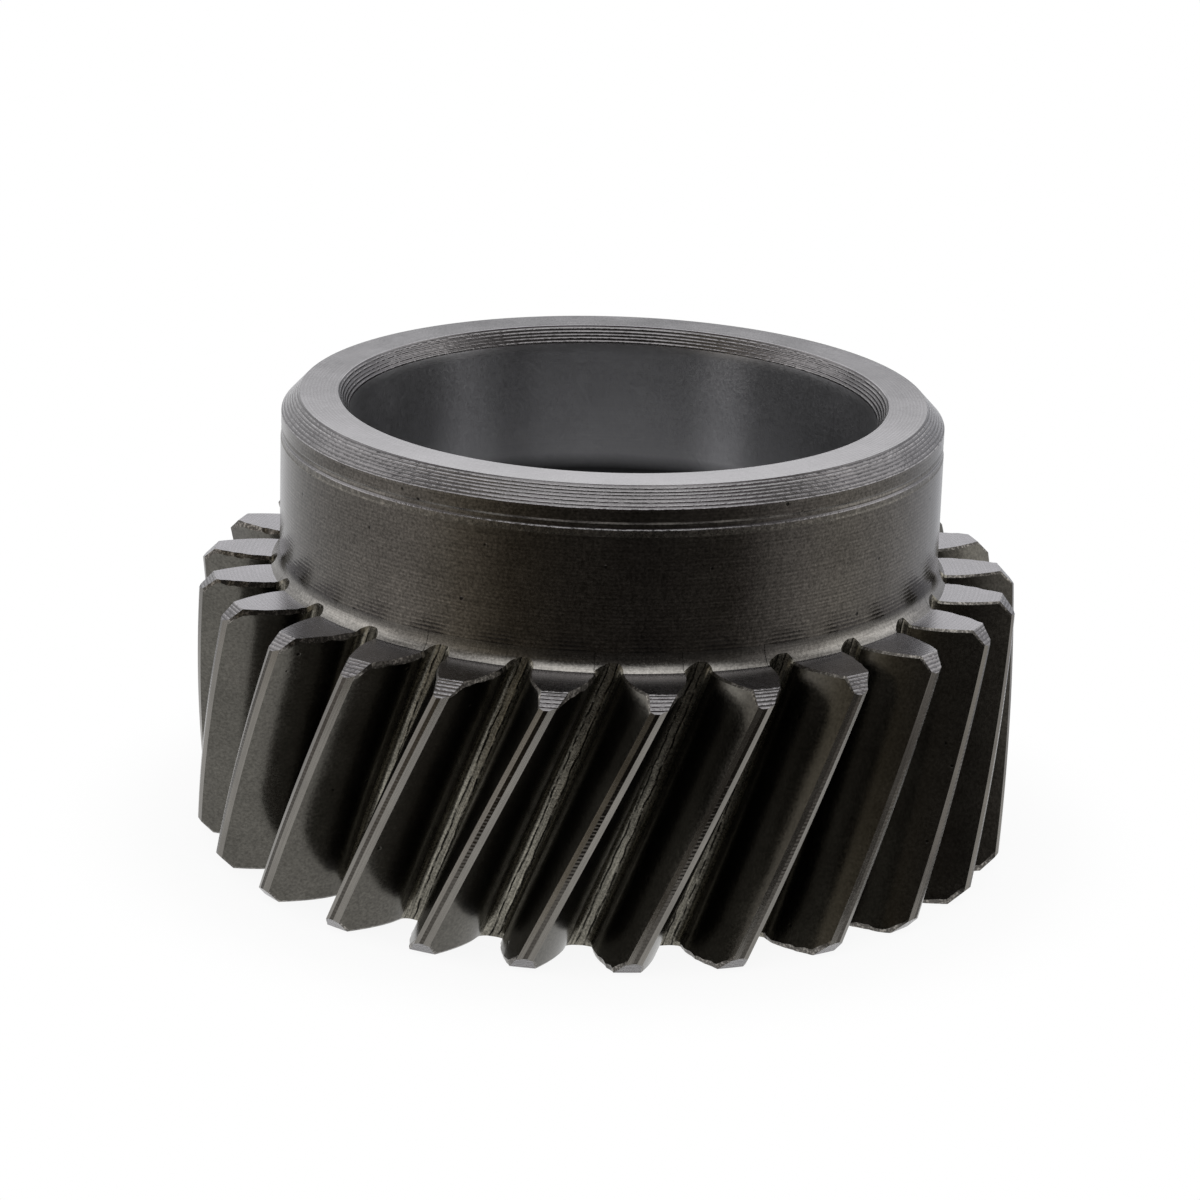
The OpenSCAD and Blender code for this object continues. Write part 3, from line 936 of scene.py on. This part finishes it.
class GEAR_OT_make_stage(bpy.types.Operator):
    """Build the floor, the lamps, the background and the camera"""
    bl_idname = "gear.make_stage"
    bl_label = "Make stage"

    def execute(self, context):
        scene = context.scene
        stage = scene.gear_stage
        self.make_floor(scene, stage)
        self.make_world(scene, stage)
        self.make_lamps(scene)
        self.make_camera(scene, stage)
        scene.view_settings.view_transform = "Standard"
        return {"FINISHED"}

    def make_floor(self, scene, stage):
        """A flat round sheet: rings of points at (r cos a, r sin a, 0) round a flat disc."""
        ring = np.linspace(FLOOR_MIDDLE_R * MM, stage.floor_radius, FLOOR_RINGS)[:, None]
        angle = np.linspace(0, 2 * PI, FLOOR_COLUMNS, endpoint=False)[None]
        xyz = polar(ring, angle, -FLOOR_DROP * MM).reshape(-1, 3)
        numbers = closed(np.arange(FLOOR_RINGS * FLOOR_COLUMNS).reshape(FLOOR_RINGS, FLOOR_COLUMNS))
        cells = np.stack([numbers[:-1, :-1], numbers[1:, :-1], numbers[1:, 1:], numbers[:-1, 1:]], 2)
        disc = list(range(FLOOR_COLUMNS - 1, -1, -1))
        mesh = bpy.data.meshes.new("floor")
        mesh.from_pydata(xyz.tolist(), [], cells.reshape(-1, 4).tolist() + [disc])
        floor = bpy.data.objects.new("floor", mesh)
        scene.collection.objects.link(floor)
        material = bpy.data.materials.new("White_light_table")
        tree = empty_tree(material)
        # White acrylic lit from below: bright by itself, with a light shadow near the gear
        place = add_node(tree, "TexCoord")["Object"]
        reach = add_node(tree, "VectorMath", {0: place}, operation="LENGTH")["Value"]
        full_r = GLOW_END_SHARE * stage.floor_radius
        lit_share = add_node(
            tree, "MapRange", {0: reach, 1: GLOW_START_R * MM, 2: full_r, 3: GLOW_LEAST, 4: 1.0},
            interpolation_type="SMOOTHSTEP")[0]
        sheet = add_node(tree, "BsdfDiffuse", {"Color": stage.floor_colour})[0]
        glow = add_node(tree, "Emission", {"Strength": 1.0})[0]
        mixed = add_node(tree, "MixShader", {0: lit_share, 1: sheet, 2: glow})[0]
        add_node(tree, "OutputMaterial", {"Surface": mixed})
        mesh.materials.append(material)

    def make_world(self, scene, stage):
        """White for the camera and as light. What the steel mirrors is the studio: pale walls at the back
        and the sides, a dim strip above the horizon, a long soft box overhead, and the dark room on the
        camera's side."""
        world = bpy.data.worlds.new("Studio")
        scene.world = world
        tree = empty_tree(world)
        way = add_node(tree, "TexCoord")["Generated"]
        x, y, z = add_node(tree, "SeparateXYZ", {0: way})

        # Walls by compass: 0 is the camera's side, left is negative
        near = add_node(tree, "Math", {0: y, 1: -1.0}, operation="MULTIPLY")[0]
        compass = add_node(tree, "Math", {0: x, 1: near}, operation="ARCTAN2")[0]
        round_share = add_node(tree, "MapRange", {0: compass, 1: -PI, 2: PI})[0]
        walls = add_node(tree, "ValToRGB", {0: round_share})[0]
        stops = walls.node.color_ramp.elements
        for degrees, hex_code in WALL_COLOURS:
            at = (degrees + 180) / 360
            stop = stops[0] if degrees == -180 else stops[-1] if degrees == 180 else stops.new(at)
            stop.color = linear_colour(hex_code)
        # Soft steps by direction: z is the sine of the height above the horizon, aside is left or right
        aside = add_node(tree, "Math", {0: x}, operation="ABSOLUTE")[0]
        dim_steps = [(z, 0.0, 0.2, 0.0, 0.66), (z, 0.25, 0.34, 1.0, 0.0), (aside, 0.25, 0.55, 1.0, 0.25)]
        dim = scaled(tree, 1.0, dim_steps, "SMOOTHSTEP")
        not_dim = add_node(tree, "Math", {0: 1.0, 1: dim}, operation="SUBTRACT")[0]
        walls_light = scaled(tree, not_dim, [(z, 0.42, 0.62, 1.0, 0.45)], "SMOOTHSTEP")
        box_steps = [(aside, 0.3, 0.6, 1.0, 0.0), (z, 0.25, 0.3, 0.0, 1.0), (y, -0.75, -0.37, 0.0, 1.0)]
        in_box = scaled(tree, 1.0, box_steps, "SMOOTHSTEP")
        wall = add_node(tree, "Background", {"Color": walls, "Strength": walls_light})[0]
        box = add_node(tree, "Background", {"Color": (1, 1, 1, 1), "Strength": stage.box_light})[0]
        studio = add_node(tree, "MixShader", {0: in_box, 1: wall, 2: box})[0]
        white = add_node(tree, "Background", {"Color": (1, 1, 1, 1), "Strength": 1.0})[0]
        path = add_node(tree, "LightPath")
        mirror_rays = {0: path["Is Glossy Ray"], 1: path["Is Transmission Ray"]}
        mirrored = add_node(tree, "Math", mirror_rays, operation="MAXIMUM")[0]
        mixed = add_node(tree, "MixShader", {0: mirrored, 1: white, 2: studio})[0]
        add_node(tree, "OutputWorld", {"Surface": mixed})

    def make_lamps(self, scene):
        """Soft boxes to the left and the right, aimed at the gear, about as bright as the walls behind."""
        for name, place, width, power in SOFT_BOXES:
            lamp = bpy.data.lights.new(name, "AREA")
            lamp.energy = power
            lamp.size = width
            box = bpy.data.objects.new(name, lamp)
            back = np.array(place) - (0, 0, AIM_HEIGHT)
            back = back / np.linalg.norm(back)
            side = np.cross((0, 1, 0), back)
            side = side / np.linalg.norm(side)
            turned = np.eye(4)
            turned[:3, :4] = np.stack([side, np.cross(back, side), back, place], 1)
            box.matrix_world = turned.T
            scene.collection.objects.link(box)

    def make_camera(self, scene, stage):
        """The camera stands over the middle of the hub's end, at its distance and height angle."""
        right, up, back = camera_axes(stage)
        hub_top = CAD_BOX[1][2]
        place = np.array([
            0, -math.cos(stage.height_angle) * stage.distance,
            hub_top + math.sin(stage.height_angle) * stage.distance])
        c, s = math.cos(stage.turn), math.sin(stage.turn)
        about_z = np.array([[c, -s, 0], [s, c, 0], [0, 0, 1]])
        matrix = np.eye(4)
        matrix[:3, :4] = about_z @ np.stack([right, up, back, place], 1)
        lens = bpy.data.cameras.new("Photo_camera")
        lens.lens = stage.focal_length
        lens.sensor_width = SENSOR_WIDTH
        lens.clip_start = CLIP_START
        camera = bpy.data.objects.new("Photo_camera", lens)
        camera.matrix_world = matrix.T
        scene.collection.objects.link(camera)
        scene.camera = camera


class GEAR_PT_panel(bpy.types.Panel):
    """Sidebar panel that lists the gear's sizes, finishes and stage"""
    bl_idname = "GEAR_PT_panel"
    bl_label = "Helical gear"
    bl_space_type = "VIEW_3D"
    bl_region_type = "UI"
    bl_category = "Gear"

    def draw(self, context):
        scene = context.scene
        for operator, groups in (
                ("gear.make_gear", (scene.gear_sizes, scene.gear_finish)),
                ("gear.make_stage", (scene.gear_stage,))):
            self.layout.operator(operator)
            for group in groups:
                for name in group.bl_rna.properties.keys():
                    if name not in ("rna_type", "name"):
                        self.layout.prop(group, name)


CLASSES = (GearSizes, GearFinish, StageSettings, GEAR_OT_make_gear, GEAR_OT_make_stage, GEAR_PT_panel)


def register():
    for cls in CLASSES:
        bpy.utils.register_class(cls)
    bpy.types.Scene.gear_sizes = bpy.props.PointerProperty(type=GearSizes)
    bpy.types.Scene.gear_finish = bpy.props.PointerProperty(type=GearFinish)
    bpy.types.Scene.gear_stage = bpy.props.PointerProperty(type=StageSettings)


def unregister():
    del bpy.types.Scene.gear_stage
    del bpy.types.Scene.gear_finish
    del bpy.types.Scene.gear_sizes
    for cls in reversed(CLASSES):
        bpy.utils.unregister_class(cls)


def main():
    register()
    bpy.ops.gear.make_gear()
    bpy.ops.gear.make_stage()
    bpy.context.view_layer.update()


if __name__ == "__main__":
    main()
